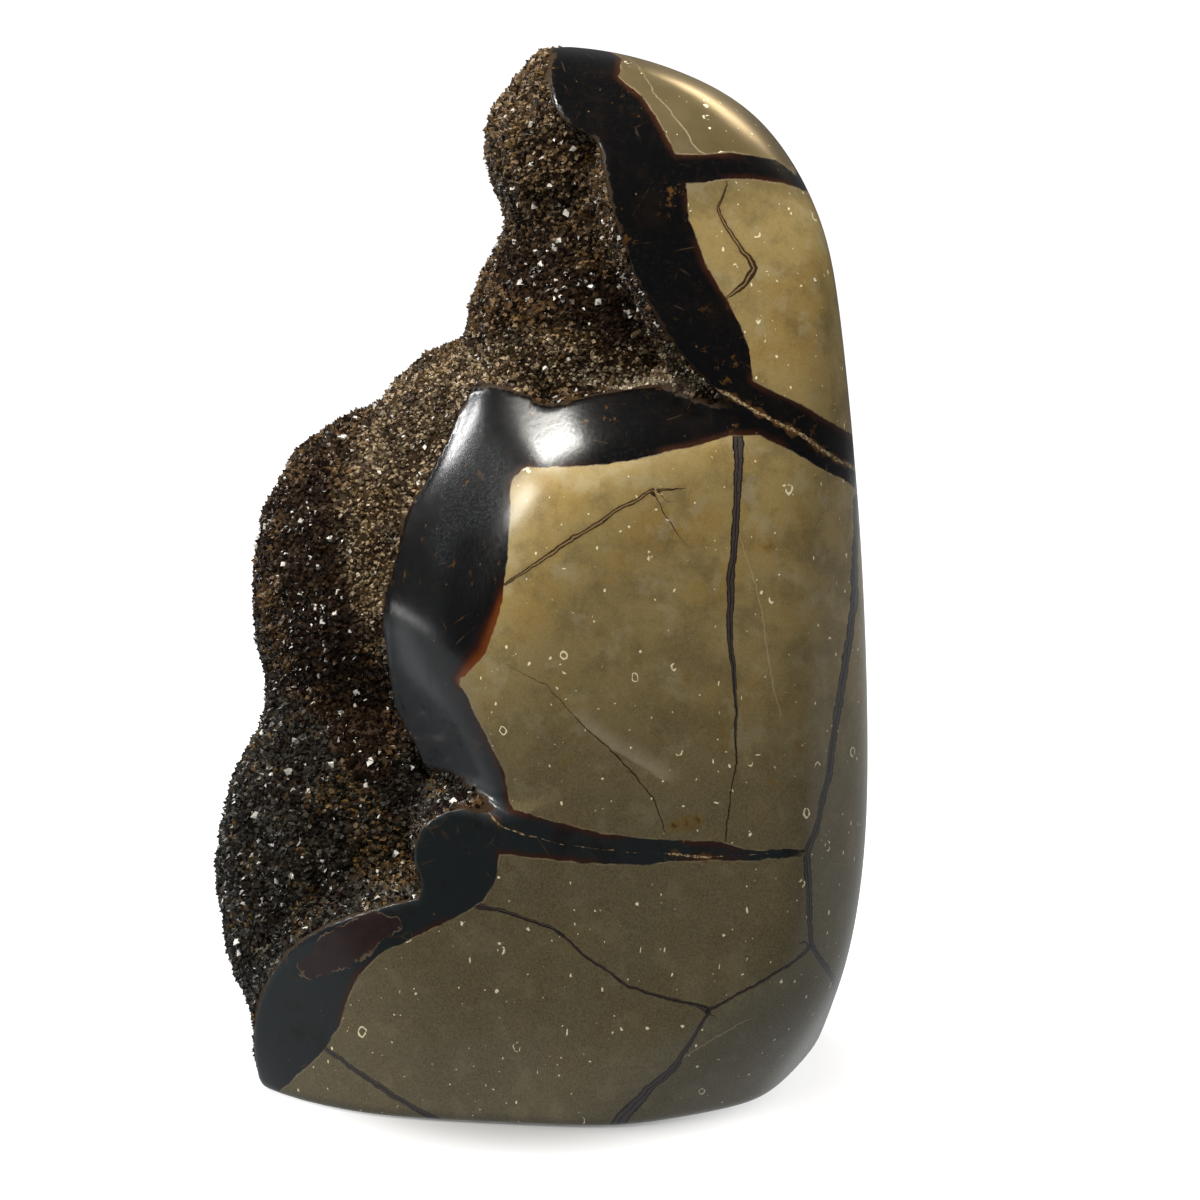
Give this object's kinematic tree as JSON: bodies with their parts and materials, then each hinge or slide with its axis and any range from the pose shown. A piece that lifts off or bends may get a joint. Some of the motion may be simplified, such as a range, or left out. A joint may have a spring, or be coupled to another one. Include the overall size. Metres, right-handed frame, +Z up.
{
  "type": "septarian nodule",
  "caption": "Free-standing septarian nodule: polished limestone blocks with dark calcite veins, open on one side to a rough druse of calcite crystals.",
  "frame": {"origin": "middle of the box of the flat base on which the nodule stands", "axes": "+Z up along the nodule's height, -Y towards the viewer, +X to the polished right side"},
  "size_m": [0.0995, 0.0669, 0.1538],
  "materials": {
    "stone": "polished, olive-tan limestone with near-black calcite veins",
    "druse": "rough, dark brown calcite crystals with glossy faces"
  },
  "bodies": {
    "root": {"stone": "stone", "druse": "druse"}
  },
  "joints": []
}
